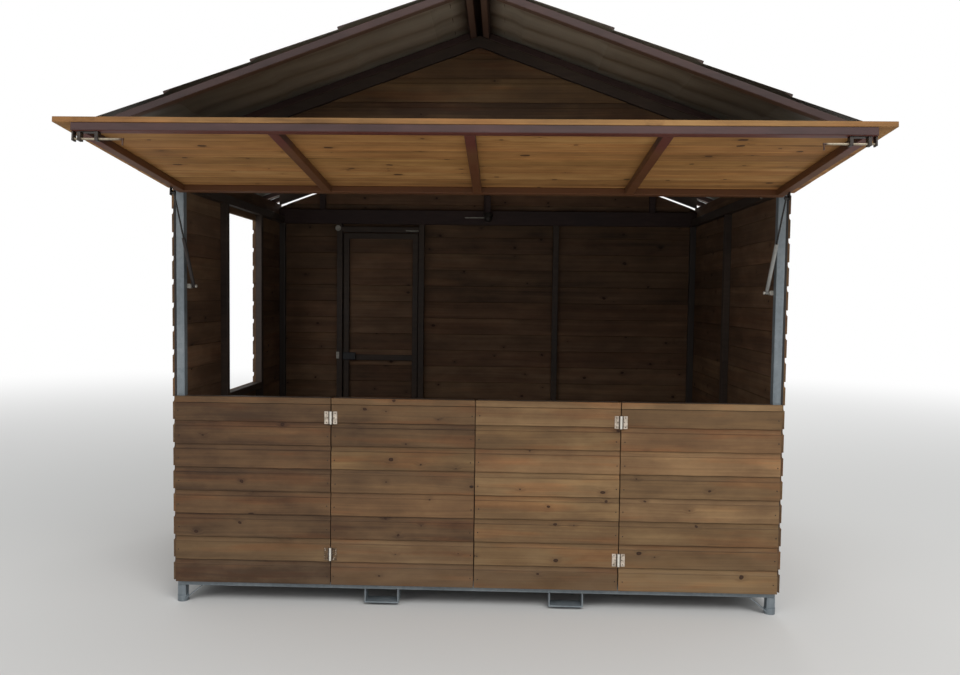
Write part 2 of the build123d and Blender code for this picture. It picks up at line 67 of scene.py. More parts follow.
# Batten over the top cove of the front panels
batten_gap = 0.0015
batten_low = first_course + 7 * course_pitch + face_height + batten_gap
batten_set_back = 0.0004
batten_ease = 0.0012

# Screw lines, as distances from the ends of the boards, and the line of a stud of the back wall
panel_screw_inset = 0.016
screw_inset = 0.020
door_screw_inset = 0.030
rear_screw_inset = 0.040
back_stud_line = 0.495

# Flap: its boards when it is shut, the lines of its ribs, and its inner finish on the free edge
flap_shut_bottom = 1.040
flap_shut_top = 2.072
rib_lines = (-1.414, -0.710, 0.0, 0.710, 1.414)
free_edge_share = 0.55

# Roof. rafter_plane is the height at which the planes of the rafters' top faces meet.
roof_pitch = math.radians(20.0)
rafter_plane = 2.820976
eaves_reach = 1.645 / math.cos(roof_pitch)
tile_step = 0.385
sheet_metal = 0.0012
sheet_gap = 0.0002
sheet_step = 0.011
wave_height = 0.0112
wave_pitch = 0.185
first_wave = 0.03
grid_pitch = 0.0125
cap_metal = 0.0012
cap_level = 0.0216
cap_roll = 0.014
cap_lap = 0.03
fixing_rise = 0.045
gable_first_course = 2.0068

# Frame and doors
tube = 0.040
door_pin = 0.7075
back_door_pin = -0.4575
leaf_face = 0.0095

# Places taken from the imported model
front_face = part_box("front_left_boards")[0].y
side_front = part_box("right_wall")[0].y
wall_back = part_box("back_wall_left")[1].y
half_steel, wall_side = (corner.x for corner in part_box("right_wall"))
clad_bottom, clad_top = (corner.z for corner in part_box("right_wall"))
roof_front, roof_back = (corner.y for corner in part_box("right_roof_sheet"))
ridge_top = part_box("ridge_cap")[1].z
header_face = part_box("corner_posts")[1].y - tube
jamb_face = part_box("back_door_frame")[0].y - tube / 2

flap_hinge = next(joint for joint in frame["joints"] if joint["name"] == "flap_hinge")
flap_pin = np.array(flap_hinge["pos_m"])
flap_turn = -math.radians(flap_hinge["range_deg"][1])

# Turned parts: (radius, height) from axis to axis, downwards
screw_head = [(0.0, 0.0012), (0.0014, 0.0011), (0.0030, 0.0004), (0.0032, -0.0004), (0.0, -0.0006)]
countersunk = [(0.0, 0.0004), (0.0012, 0.0004), (0.0013, -0.0002), (0.0028, 0.0003),
               (0.0031, 0.0002), (0.0032, -0.0004), (0.0, -0.0006)]
hex_head = [(0.0, 0.0052), (0.0038, 0.0052), (0.0044, 0.0045), (0.0044, 0.0012), (0.0, 0.0010)]
washer = [(0.0, 0.0013), (0.0068, 0.0013), (0.0076, 0.0006), (0.0076, -0.0005), (0.0, -0.0006)]
bolt_head = [(0.0, 0.0068), (0.0070, 0.0068), (0.0082, 0.0058), (0.0082, 0.0002), (0.0, -0.0004)]
jamb_washer = [(0.0, 0.0030), (0.0185, 0.0030), (0.0200, 0.0018), (0.0200, -0.0004),
               (0.0, -0.0005)]
stub_foot = [(0.0, 0.066), (0.014, 0.066), (0.030, 0.060), (0.033, 0.050), (0.033, 0.034),
             (0.026, 0.030), (0.026, 0.012), (0.022, 0.004), (0.0, 0.0)]


def srgb(red, green, blue):
    """A colour given as it looks on a screen, from 0 to 255."""
    linear = (value / 12.92 if value <= 0.04045 else ((value + 0.055) / 1.055) ** 2.4
              for value in (red / 255, green / 255, blue / 255))
    return (*linear, 1.0)


def shades(*colours):
    return tuple(srgb(*colour) for colour in colours)


class Nodes:
    """A node tree with one output, and short calls for the nodes used here."""

    def __init__(self, owner, output):
        owner.use_nodes = True
        self.tree = owner.node_tree
        self.tree.nodes.clear()
        self.output = self.node(output)

    def node(self, kind, inputs=None, **settings):
        made = self.tree.nodes.new("ShaderNode" + kind)
        for key, value in settings.items():
            setattr(made, key, value)
        for key, value in (inputs or {}).items():
            self.put(made.inputs[key], value)
        return made

    def put(self, socket, value):
        if isinstance(value, bpy.types.NodeSocket):
            self.tree.links.new(value, socket)
        else:
            socket.default_value = value

    def show(self, surface):
        self.put(self.output.inputs["Surface"], surface)

    def attribute(self, name, output="Vector"):
        return self.node("Attribute", attribute_name=name).outputs[output]

    def place(self):
        return self.node("TexCoord").outputs["Object"]

    def split(self, vector):
        return self.node("SeparateXYZ", {0: vector}).outputs

    def upwards(self):
        """How far a face looks up, from 1 to -1."""
        return self.split(self.node("TexCoord").outputs["Normal"])[2]

    def join(self, x, y, z):
        return self.node("CombineXYZ", {0: x, 1: y, 2: z}).outputs[0]

    def scaled(self, vector, factors):
        return self.node("VectorMath", {0: vector, 1: factors}, operation="MULTIPLY").outputs[0]

    def moved(self, vector, other):
        return self.node("VectorMath", {0: vector, 1: other}, operation="ADD").outputs[0]

    def math(self, operation, a, b=0.0):
        return self.node("Math", {0: a, 1: b}, operation=operation).outputs[0]

    def times(self, a, b):
        return self.math("MULTIPLY", a, b)

    def plus(self, a, b):
        return self.math("ADD", a, b)

    def minus(self, a, b):
        return self.math("SUBTRACT", a, b)

    def unsigned(self, a):
        return self.math("ABSOLUTE", a)

    def total(self, *terms):
        """The sum of some values, each times its weight."""
        whole = self.times(*terms[0])
        for value, weight in terms[1:]:
            whole = self.plus(whole, self.times(value, weight))
        return whole

    def span(self, value, low, high, to_low=0.0, to_high=1.0, smooth=True):
        kind = "SMOOTHSTEP" if smooth else "LINEAR"
        inputs = {0: value, 1: low, 2: high, 3: to_low, 4: to_high}
        return self.node("MapRange", inputs, interpolation_type=kind).outputs[0]

    def noise(self, vector, scale, detail=3.0, roughness=0.55, output="Fac"):
        """Noise of one scale, or with a scale of its own on each axis."""
        if isinstance(scale, tuple):
            vector, scale = self.scaled(vector, scale), 1.0
        inputs = {"Vector": vector, "Scale": scale, "Detail": detail, "Roughness": roughness}
        return self.node("TexNoise", inputs).outputs[output]

    def cells(self, vector, scale, dimensions="3D"):
        inputs = {"Vector": vector, "Scale": scale}
        return self.node("TexVoronoi", inputs, voronoi_dimensions=dimensions).outputs

    def mix(self, share, a, b, blend="MIX"):
        made = self.node("Mix", data_type="RGBA", blend_type=blend)
        for index, value in ((0, share), (6, a), (7, b)):
            self.put(made.inputs[index], value)
        return made.outputs[2]

    def ramp(self, value, places, colours):
        made = self.node("ValToRGB", {0: value})
        points = made.color_ramp.elements
        while len(points) < len(places):
            points.new(0.5)
        for point, place, colour in zip(points, places, colours):
            point.position = place
            point.color = colour
        return made.outputs[0]


materials = {}


class Shader(Nodes):
    """A material on one Principled shader, kept in materials under its name."""

    def __init__(self, name, metallic=0.0, specular=0.5):
        materials[name] = bpy.data.materials.new(name)
        super().__init__(materials[name], "OutputMaterial")
        self.surface = self.node("BsdfPrincipled",
                                 {"Metallic": metallic, "Specular IOR Level": specular})
        self.show(self.surface.outputs["BSDF"])

    def finished(self, colour, roughness, height, distance, strength):
        """Gives the material its colour, its roughness and its relief."""
        relief = self.node("Bump", {"Height": height, "Distance": distance, "Strength": strength})
        inputs = {"Base Color": colour, "Roughness": roughness, "Normal": relief.outputs[0]}
        for key, value in inputs.items():
            self.put(self.surface.inputs[key], value)


plain_streaks = 0.30


def wood(name, outer, inner, knot, stretch=0.72, largest=0.0088, absent=0.16, cells=5.2,
         streaks=plain_streaks):
    """Stained softwood. outer and inner are each a dark, a middle and a pale colour, and knot is
    a knot's rim and heart. A smaller stretch draws knots out along the board. largest is the
    largest knot's radius, absent the share of cells without a knot, cells how many there are in a
    metre, and streaks the weight of the grain's streaks."""
    s = Shader(name, specular=0.30)
    grain = s.attribute("grain")
    bright, hue, recess = s.split(s.attribute("tone"))
    inside = s.attribute("inner", "Fac")
    along, across, deep = s.split(grain)

    # Knots: one in most cells of the board's face, each with a size of its own
    warp = s.noise(grain, 26.0, 2.0, output="Color")
    wobble = s.scaled(s.moved(warp, (-0.5, -0.5, -0.5)), (0.012, 0.012, 0.0))
    flat = s.moved(s.join(s.times(along, stretch), across, 0.0), wobble)
    knots = s.cells(flat, cells, "2D")
    draw, chance, _ = s.split(knots["Color"])
    gap = s.math("DIVIDE", knots["Distance"], cells)
    present = s.math("GREATER_THAN", chance, absent)
    size = s.span(s.math("POWER", draw, 1.6), 0.0, 1.0, 0.0020, largest, smooth=False)
    past = s.minus(gap, size)
    heart = s.times(s.span(past, -0.0012, 0.0016, 1.0, 0.0), present)
    halo = s.times(s.span(past, 0.0, 0.024, 1.0, 0.0), present)
    core = s.span(s.math("DIVIDE", gap, size), 0.1, 0.95)

    # Grain that runs along the board, waves slowly and bends round the knots
    sway = s.noise(grain, (1.1, 3.0, 3.0), 2.0)
    bend = s.total((sway, 0.05), (halo, 0.012))
    lines_at = s.join(s.times(along, 0.7), s.plus(across, bend), deep)
    broad = s.noise(lines_at, (1.0, 20.0, 20.0))
    rings = s.noise(lines_at, (0.9, 95.0, 60.0), 2.0, 0.6)
    fine = s.noise(lines_at, (5.0, 420.0, 300.0), 3.0, 0.6)
    blotch = s.noise(grain, (3.4, 7.0, 7.0), 5.0, 0.6)

    # Lightness, with stronger streaks kept at the same mean, and slow changes of hue
    light = s.total((broad, 0.42), (rings, streaks), (fine, 0.24), (blotch, 0.74), (bright, 0.31),
                    (halo, -0.10))
    light = s.minus(light, 0.505 + 0.5 * (streaks - plain_streaks))
    stops = (0.10, 0.50, 0.90)
    colour = s.mix(inside, s.ramp(light, stops, outer), s.ramp(light, stops, inner))
    warm, pale, _ = s.split(s.noise(grain, (1.7, 16.0, 9.0), output="Color"))
    warmth = s.times(s.span(warm, 0.48, 0.66, 0.0, 0.75), s.span(inside, 0.0, 1.0, 1.0, 0.4))
    for share, factors in ((s.span(hue, 0.45, 1.0, 0.0, 0.38), (1.09, 0.95, 0.88)),
                           (s.span(hue, 0.45, 0.0, 0.0, 0.38), (0.96, 1.0, 0.88)),
                           (warmth, (1.13, 0.91, 0.80)),
                           (s.span(pale, 0.54, 0.72, 0.0, 0.75), (1.26, 1.24, 1.18))):
        colour = s.mix(share, colour, s.mix(1.0, colour, (*factors, 1.0), "MULTIPLY"))

    # Darkening along the recesses, partly stain and partly painted shade, splashes near the ground,
    # and the knots on top
    recess_shade_and_stain = s.times(recess, s.span(blotch, 0.30, 0.70, 0.62, 0.86))
    colour = s.mix(recess_shade_and_stain, colour, (0.024, 0.011, 0.006, 1.0))
    height = s.split(s.place())[2]
    splash = s.times(s.span(height, 0.08, 0.50, 0.28, 0.0), s.span(blotch, 0.35, 0.65))
    colour = s.mix(splash, colour, srgb(88, 78, 66))
    colour = s.mix(s.times(heart, 0.92), colour, s.mix(core, knot[1], knot[0]))
    relief = s.minus(s.total((rings, 0.6), (fine, 0.5)), s.times(heart, 0.7))
    s.finished(colour, s.span(fine, 0.2, 0.8, 0.66, 0.84), relief, 0.0008, 0.5)


def galvanised(name, dark_behind=False):
    """Hot-dip zinc: faint crystals, dull patches and streaks. dark_behind paints the back posts."""
    s = Shader(name, metallic=0.30)
    at = s.place()
    crystals = s.split(s.cells(at, 60.0)["Color"])[0]
    clouds = s.noise(at, 3.5, 5.0, 0.6)
    streaks = s.noise(at, (40.0, 40.0, 2.0))
    light = s.total((crystals, 0.09), (clouds, 0.66), (streaks, 0.25))
    colour = s.ramp(light, (0.28, 0.50, 0.72),
                    shades((98, 107, 112), (124, 132, 137), (146, 153, 156)))
    if dark_behind:
        behind = s.span(s.split(at)[1], 0.30, 0.60)
        colour = s.mix(behind, colour, srgb(66, 57, 51))
        s.put(s.surface.inputs["Metallic"], s.span(behind, 0.0, 1.0, 0.30, 0.0))
    rough = s.span(clouds, 0.3, 0.7, 0.46, 0.64)
    s.finished(colour, rough, s.noise(at, 160.0), 0.0004, 0.3)


def painted(name, colours, dusty=1.0, worn=None, under=None):
    """Oil paint brushed on steel: faint runs, dust on top faces and small chips. worn is the
    thin coat's colour towards the back of the flap, and under is painted light from below: a
    lighter colour on undersides."""
    s = Shader(name, specular=0.30)
    at = s.place()
    upwards = s.upwards()
    clouds = s.noise(at, 2.6, 5.0, 0.6)
    brush = s.noise(at, (9.0, 60.0, 60.0))
    colour = s.ramp(s.total((clouds, 0.7), (brush, 0.3)), (0.30, 0.50, 0.72), colours)
    # Painted light from below: faces that look down are given the lighter under colour
    if under:
        colour = s.mix(s.times(s.span(upwards, -0.55, -0.85), 0.9), colour, under)
    if worn:
        towards_back = s.span(s.split(at)[1], -1.46, -1.30)
        patches = s.span(clouds, 0.25, 0.60, 0.65, 1.0)
        colour = s.mix(s.times(towards_back, patches), colour, worn)
    chips = s.math("GREATER_THAN", s.noise(at, 38.0, 6.0, 0.7), 0.735)
    colour = s.mix(s.times(chips, 0.7), colour, srgb(112, 84, 62))
    dust = s.times(s.span(upwards, 0.5, 1.0), s.span(clouds, 0.35, 0.65, 0.15, 0.45))
    colour = s.mix(s.times(dust, dusty), colour, srgb(126, 114, 100))
    rough = s.span(clouds, 0.3, 0.7, 0.46, 0.66)
    s.finished(colour, rough, s.noise(at, 240.0, 2.0), 0.0004, 0.35)


def bright_metal(name, colour, roughness, metallic):
    """Plated or polished metal with fine scratches and finger marks."""
    s = Shader(name, metallic)
    at = s.place()
    marks = s.noise(at, 30.0, 5.0, 0.65)
    scratch = s.noise(at, (30.0, 420.0, 420.0), 2.0)
    dull = tuple(0.55 * value for value in colour[:3]) + (1.0,)
    colour = s.mix(s.span(marks, 0.40, 0.66, 0.0, 0.8), colour, dull)
    rough = s.span(scratch, 0.2, 0.8, roughness - 0.07, roughness + 0.12)
    s.finished(colour, rough, scratch, 0.0002, 0.3)


def slide_bar(name):
    """Plated bar of a slide bolt. Its bent inner end is brown with paint."""
    s = Shader(name, metallic=0.3)
    at = s.place()
    marks = s.noise(at, 30.0, 5.0, 0.65)
    bar = s.mix(s.span(marks, 0.40, 0.66, 0.0, 0.8), *shades((168, 156, 134), (112, 98, 80)))
    end = s.span(s.unsigned(s.split(at)[0]), 1.268, 1.254)
    colour = s.mix(end, bar, srgb(70, 46, 32))
    s.finished(colour, s.span(marks, 0.3, 0.7, 0.34, 0.56), marks, 0.0002, 0.3)


def door_hinge_zinc(name):
    """Plated hinges: a painted highlight on the barrel and painted shade in the gaps beside it. The
    left door's lower leaf is stained.
    """
    s = Shader(name, metallic=0.30)
    at = s.place()
    x, y, z = s.split(at)
    marks = s.noise(at, 55.0, 5.0, 0.65)
    spots = s.noise(at, 95.0, 2.0, 0.5)
    leaf = s.mix(s.span(marks, 0.38, 0.66, 0.0, 0.8), *shades((216, 202, 186), (146, 132, 114)))
    low_down = s.times(s.span(z, 0.55, 0.45), s.span(spots, 0.56, 0.64, 1.0, 0.45))
    on_left_door = s.times(s.math("LESS_THAN", y, 0.0), s.math("LESS_THAN", x, 0.0))
    stain = s.mix(s.span(spots, 0.30, 0.48), *shades((52, 38, 27), (104, 82, 58)))
    leaf = s.mix(s.times(low_down, on_left_door), leaf, stain)
    from_pin = s.unsigned(s.minus(s.unsigned(x), door_pin))
    # Painted highlight on the barrel, then painted shade in the gaps between the barrel and the
    # leaves
    colour = s.mix(s.span(from_pin, 0.0058, 0.0050), leaf, srgb(226, 222, 212))
    gap = s.times(s.span(from_pin, 0.0056, 0.0064), s.span(from_pin, 0.0124, 0.0110))
    colour = s.mix(s.times(gap, 0.92), colour, srgb(52, 38, 28))
    s.finished(colour, s.span(marks, 0.2, 0.8, 0.32, 0.54), marks, 0.0002, 0.3)


def tile_sheet(name):
    """Coated roof sheet: gritty brown coat above, olive-grey backing paint below."""
    s = Shader(name, specular=0.30)
    at = s.place()
    under = s.attribute("under", "Fac")
    clouds = s.noise(at, 1.7, 5.0, 0.6)
    grit = s.noise(at, 420.0, 2.0, 0.7)
    streaks = s.noise(at, (2.0, 26.0, 2.0), 4.0)
    top = s.ramp(s.total((clouds, 0.7), (grit, 0.3)), (0.30, 0.52, 0.75),
                 shades((44, 34, 31), (62, 48, 43), (84, 68, 60)))
    below = s.ramp(s.total((clouds, 0.6), (streaks, 0.4)), (0.30, 0.52, 0.74),
                   shades((140, 135, 122), (176, 171, 156), (196, 192, 178)))
    # Painted shade: the underside darkens towards the eaves
    painted_eaves_shade = s.span(s.unsigned(s.split(at)[0]), 0.55, 1.35, 0.0, 0.62)
    colour = s.mix(under, top, s.mix(painted_eaves_shade, below, srgb(40, 38, 36)))
    rough = s.span(under, 0.0, 1.0, 0.66, 0.55, smooth=False)
    relief = s.times(grit, s.span(under, 0.0, 1.0, 1.0, 0.15, smooth=False))
    s.finished(colour, rough, relief, 0.0008, 0.5)


def film_ply(name):
    """Brown film-faced plywood with a wire-mesh print, scuffs and dried mud."""
    s = Shader(name)
    at = s.place()
    x, y, z = s.split(at)
    wires = [s.unsigned(s.math("SINE", s.times(diagonal, 420.0)))
             for diagonal in (s.plus(x, y), s.minus(x, y))]
    clouds = s.noise(at, 2.2, 6.0, 0.65)
    scuffs = s.noise(at, (3.0, 14.0, 14.0), 6.0, 0.7)
    colour = s.ramp(clouds, (0.30, 0.55, 0.75), shades((52, 38, 30), (72, 54, 42), (94, 76, 60)))
    colour = s.mix(s.span(scuffs, 0.52, 0.72, 0.0, 0.6), colour, srgb(128, 110, 92))
    s.finished(colour, s.span(clouds, 0.3, 0.7, 0.45, 0.70), s.times(*wires), 0.0006, 0.5)


def plain_cast(name, colour, roughness):
    """Dark moulded or cast case with a fine grained surface."""
    s = Shader(name)
    at = s.place()
    clouds = s.noise(at, 14.0, 4.0, 0.6)
    pale = tuple(min(1.0, 1.9 * value + 0.01) for value in colour[:3]) + (1.0,)
    colour = s.mix(s.span(clouds, 0.45, 0.75, 0.0, 0.7), colour, pale)
    rough = s.span(clouds, 0.3, 0.7, roughness - 0.08, roughness + 0.1)
    s.finished(colour, rough, s.noise(at, 900.0, 2.0), 0.0002, 0.5)


front_colours = shades((70, 51, 35), (112, 86, 59), (150, 120, 84))
inside_colours = shades((58, 43, 31), (104, 78, 58), (140, 110, 84))
flap_colours = shades((108, 74, 36), (164, 119, 68), (200, 158, 100))
face_knots = shades((36, 20, 12), (62, 36, 21))
pale_knots = shades((52, 28, 12), (78, 44, 20))
brown = shades((46, 32, 30), (63, 46, 43), (78, 58, 54))
flap_brown = shades((50, 33, 30), (67, 46, 44), (82, 59, 56))
rail_brown = shades((46, 33, 31), (60, 44, 41), (76, 58, 54))
dark_brown = shades((50, 41, 35), (68, 56, 48), (84, 70, 60))
strut_grey = shades((126, 127, 124), (150, 150, 146), (168, 168, 164))
# The left strut's paint is the grey strut paint made darker: painted shade
strut_grey_in_painted_shade = shades((42, 38, 37), (54, 48, 46), (70, 64, 60))

wood("clad_wood", front_colours, inside_colours, face_knots)
wood("flap_wood", front_colours, flap_colours, pale_knots, stretch=0.60,
     largest=0.0125, absent=0.02, cells=6.3, streaks=0.62)
galvanised("galvanised_steel")
galvanised("post_steel", dark_behind=True)
painted("brown_paint", brown, under=srgb(122, 100, 88))
painted("flap_paint", flap_brown, 0.4, srgb(98, 62, 36), srgb(98, 50, 40))
painted("rail_paint", rail_brown, 0.15)
painted("dark_paint", dark_brown, 0.15)
bright_metal("zinc_plate", srgb(196, 190, 178), 0.36, 0.30)
door_hinge_zinc("hinge_zinc")
bright_metal("dark_steel", srgb(62, 55, 50), 0.45, 0.5)
painted("strut_paint", strut_grey)
painted("left_strut_paint", strut_grey_in_painted_shade)
bright_metal("rod_chrome", srgb(62, 60, 58), 0.24, 0.8)
slide_bar("bolt_zinc")
tile_sheet("roof_coat")
film_ply("film_ply")
# A black finish of painted shadow, for the strips beside the front posts
plain_cast("shadow_gap_black", srgb(24, 23, 23), 0.6)
plain_cast("lock_cast", srgb(40, 40, 42), 0.5)
bright_metal("screw_steel", srgb(58, 46, 38), 0.5, 0.5)


class Shape:
    """Points, faces and point values, gathered until the piece is made."""

    def __init__(self):
        self.points = []
        self.faces = []
        self.values = {}
        self.count = 0

    def add(self, points, faces, **values):
        """Adds a part. values are point values: arrays with one row for each point."""
        self.points.append(np.asarray(points, float))
        self.faces += [tuple(index + self.count for index in face) for face in faces]
        self.count += len(points)
        for name, value in values.items():
            self.values.setdefault(name, []).append(np.asarray(value, float))


def make_piece(name, shape, body, material, replaces=(), sharp=35.0):
    """Turns a gathered shape into an object that rides on a body."""
    mesh = bpy.data.meshes.new(name)
    mesh.from_pydata(np.concatenate(shape.points).tolist(), [], shape.faces)
    for key, parts in shape.values.items():
        data = np.concatenate(parts).astype(np.float32)
        kind, field = ("FLOAT_VECTOR", "vector") if data.ndim == 2 else ("FLOAT", "value")
        mesh.attributes.new(key, kind, "POINT").data.foreach_set(field, data.ravel())
    mesh.validate()
    mesh.shade_smooth()
    mesh.set_sharp_from_angle(angle=math.radians(sharp))
    mesh.materials.append(materials[material])
    piece = bpy.data.objects.new(name, mesh)
    bpy.context.scene.collection.objects.link(piece)
    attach(piece, body)
    if replaces:
        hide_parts(*replaces)


def make_fitting(name, shape, body="root", material="zinc_plate"):
    """A small piece with crisp edges, which is extra to the frame."""
    make_piece(name, shape, body, material, sharp=30.0)


def turned_round(faces):
    return [tuple(reversed(face)) for face in faces]


def tube_faces(rows, ring, flip=False):
    """Faces of a closed tube of rows rings, with both ends closed."""
    last = (rows - 1) * ring
    faces = [(i + j, i + (j + 1) % ring, i + (j + 1) % ring + ring, i + j + ring)
             for i in range(0, last, ring) for j in range(ring)]
    faces += [tuple(reversed(range(ring))), tuple(range(last, last + ring))]
    return turned_round(faces) if flip else faces


def lathe_at(shape, profile, sides, origin, direction, turn=0.0):
    """Adds a turned part that stands at origin and points along direction."""
    turns = turn + 2 * math.pi * np.arange(sides) / sides
    points = [(0.0, 0.0, profile[0][1])]
    for radius, height in profile[1:-1]:
        points += [(radius * math.cos(a), radius * math.sin(a), height) for a in turns]
    points.append((0.0, 0.0, profile[-1][1]))
    around = [(i, (i + 1) % sides) for i in range(sides)]
    last = 1 + (len(profile) - 3) * sides
    faces = [(0, 1 + i, 1 + j) for i, j in around]
    faces += [(first + i, first + sides + i, first + sides + j, first + j)
              for first in range(1, last, sides) for i, j in around]
    faces += [(last + i, len(points) - 1, last + j) for i, j in around]
    turning = Vector((0, 0, 1)).rotation_difference(Vector(direction)).to_matrix()
    shape.add(np.array(points) @ np.array(turning).T + np.array(origin), faces)


# Cladding

def board_section(full_foot):
    """Closed outline of a board: (d, h, recess), where recess is how much a point is darkened,
    partly stain and partly painted shade. A full foot has no rebate behind its edge.
    """
    low = [(0.0010, 0.0, 0.24), (0.0, 0.0013, 0.06)]
    face = [(0.0, 0.004, 0.0), (0.0, face_height - 0.010, 0.0), (0.0, face_height - 0.0025, 0.12),
            (0.0, face_height - 0.0005, 0.45), (0.0008, face_height, 0.90)]
    turns = [step / 8 * math.pi / 2 for step in range(1, 9)]
    cove = [(0.0008 + (scoop_depth - 0.0008) * math.sin(turn),
             face_height + scoop_height * (1 - math.cos(turn)), recess)
            for turn, recess in zip(turns, (1.0, 0.90, 0.55, 0.24, 0.16, 0.14, 0.14, 0.20))]
    top = course_pitch + tongue_rise
    back = [(scoop_depth + 0.0001, top - 0.001, 1.0), (scoop_depth + 0.001, top, 1.0),
            (thickness - seam_chamfer, top, 1.0), (thickness, top - seam_chamfer, 0.0)]
    if full_foot:
        low = [(0.0010, 0.0, 0.0), (0.0, 0.0010, 0.0)]
        foot = [(thickness, 0.001, 0.0), (thickness - 0.001, 0.0, 0.0)]
    else:
        lip = scoop_depth - 0.0003
        foot = [(thickness, rebate_top + seam_chamfer, 0.0),
                (thickness - seam_chamfer, rebate_top, 1.0), (lip, rebate_top, 1.0),
                (lip, 0.0004, 1.0)]
    return low + face + cove + back + foot


def cut_outline(points, limit, keep_above):
    """Cuts a closed outline at a height, and keeps what is above or below it."""
    def keeps(point):
        return point[1] >= limit if keep_above else point[1] <= limit

    kept = []
    for i, here in enumerate(points):
        there = points[(i + 1) % len(points)]
        if keeps(here):
            kept.append(here)
        if keeps(here) != keeps(there):
            share = (limit - here[1]) / (there[1] - here[1])
            kept.append(tuple(a + share * (b - a) for a, b in zip(here, there)))
    return kept


def on_grid(grid, *values):
    """Each value spread over a grid, as one row of numbers."""
    return [np.broadcast_to(value, grid).reshape(-1) for value in values]


@dataclass
class Cladding:
    """Boards laid in courses. place turns (a, d, h) into points: a along the board, d inwards and
    h up. shade is painted light and shade: it makes all boards brighter, or darker below zero.
    lines has the least and most darkening in a recess, partly stain and partly painted shade."""
    place: object
    seed: int
    flip: bool = False
    first: float = first_course
    shade: float = 0.0
    full_foot: bool = False
    lines: tuple = (0.45, 1.0)

    def __post_init__(self):
        self.shape = Shape()
        self.screws = []

    def add(self, stations, around, points, **values):
        self.shape.add(self.place(*points), tube_faces(stations, around, self.flip), **values)

    def course(self, index, low, high, start, end, end_play=0.0006):
        """One board or a part of one. start and end are functions of height, or plain places."""
        base = self.first + index * course_pitch
        full_foot = self.full_foot and index == 0
        outline = [(d, base + h, recess) for d, h, recess in board_section(full_foot)]
        if low > base:
            outline = cut_outline(outline, low, True)
        if high < base + course_pitch + tongue_rise:
            outline = cut_outline(outline, high, False)
        if len(outline) < 3:
            return
        draw = np.random.default_rng(self.seed * 1000 + index)
        offset = draw.uniform(0.0, 40.0, 3)
        bright, hue = draw.uniform(0.0, 1.0, 2)
        strength = draw.uniform(*self.lines)
        waves = draw.uniform(0.0, 1.0, 8)
        d, h, recess = (np.array(column) for column in zip(*outline))

        def board_end(place, play):
            """The board's end at each point of its section."""
            places = [place(z) if callable(place) else place for z in h]
            return np.array(places) + end_play * (play - 0.5) * 2

        def wave(at, slowest, spread, rate, phase):
            """A wave along the board, its rate and phase taken from two of the draws."""
            return np.sin(at * (slowest + spread * waves[rate]) + 6.3 * waves[phase])

        starts = board_end(start, waves[6])
        ends = np.maximum(board_end(end, waves[7]), starts + 1e-4)
        stations = max(2, int(np.max(ends - starts) / station_step) + 1)
        a = starts + (ends - starts) * np.linspace(0.0, 1.0, stations)[:, None]
        bow = 0.5 + 0.25 * wave(a, 3.0, 5.0, 0, 1) + 0.25 * wave(a, 9.0, 9.0, 2, 3)
        outer = np.clip(1.0 - d / scoop_depth, 0.0, 1.0)
        depth = d + bow_depth * bow * outer * (0.4 + 0.6 * waves[1])
        lower_edge = (h < base + 0.004) & (h > low + 0.001)
        height = h + np.where(lower_edge, nibble_height * wave(a, 17.0, 20.0, 4, 5), 0.0)
        a, depth, height, d, h, recess = on_grid(a.shape, a, depth, height, d, h, recess)
        grain = np.stack([a + offset[0], h - base + offset[1], d + offset[2]], 1)
        # The recess darkening, partly stain and partly painted shade, goes in the third value of
        # tone
        stain = recess * (strength * (0.80 + 0.20 * wave(a, 5.0, 6.0, 5, 4)))
        tone = np.stack([np.full(len(a), bright + self.shade), np.full(len(a), hue), stain], 1)
        inner = (d > thickness - 0.0005).astype(float)
        if full_foot:
            inner = np.maximum(inner, free_edge_share * (h - base < 0.0011))
        self.add(stations, len(outline), (a, depth, height), grain=grain, tone=tone, inner=inner)

    def batten(self, low, high, start, end):
        """A plain strip of wood with eased edges, a little behind the boards' faces."""
        near, far, ease = batten_set_back, thickness, batten_ease
        outline = [(near + ease, low), (near, low + ease), (near, high - ease), (near + ease, high),
                   (far - ease, high), (far, high - ease), (far, low + ease), (far - ease, low)]
        stations = max(2, int((end - start) / station_step) + 1)
        d, h = (np.array(column) for column in zip(*outline))
        a, d, h = on_grid((stations, len(d)), np.linspace(start, end, stations)[:, None], d, h)
        grain = np.stack([a + 3.1 * self.seed, h + 7.7, d + 2.3], 1)
        tone = np.tile((0.9 + self.shade, 0.4, 0.0), (len(a), 1))
        self.add(stations, len(outline), (a, d, h), grain=grain, tone=tone, inner=np.zeros(len(a)))

    def wall(self, low, high, start, end, **settings):
        """All courses between two heights."""
        index = max(0, math.floor((low - self.first) / course_pitch - 1e-6))
        while self.first + index * course_pitch < high - 0.002:
            self.course(index, low, high, start, end, **settings)
            index += 1

    def screw_lines(self, places, low, high):
        """Marks a screw at mid height of each board at these places along it."""
        index = math.ceil((low - self.first) / course_pitch - 1e-6)
        while self.first + index * course_pitch + face_height < high:
            draw = np.random.default_rng(self.seed * 7919 + index)
            for a in places:
                da, dh = draw.uniform(-0.004, 0.004, 2)
                h = self.first + index * course_pitch + face_height / 2 + dh
                self.screws.append((a + da, h))
            index += 1

    def finish(self, name, body, *nodes, material="clad_wood", slot="wall_boards"):
        """Makes the boards, and their screw heads if there are any."""
        make_piece(name + "_cladding", self.shape, body, material, nodes)
        heads = Shape()
        for a, h in self.screws:
            here, outside = self.place(np.full(2, a), np.array([0.0, -1.0]), np.full(2, h))
            lathe_at(heads, screw_head, 10, here, outside - here)
        if self.screws:
            make_piece(name + "_screws", heads, body, "screw_steel")


def front_place(a, d, h):
    return np.stack([a, front_face + d, h], 1)


def right_place(a, d, h):
    return np.stack([wall_side - d, a, h], 1)


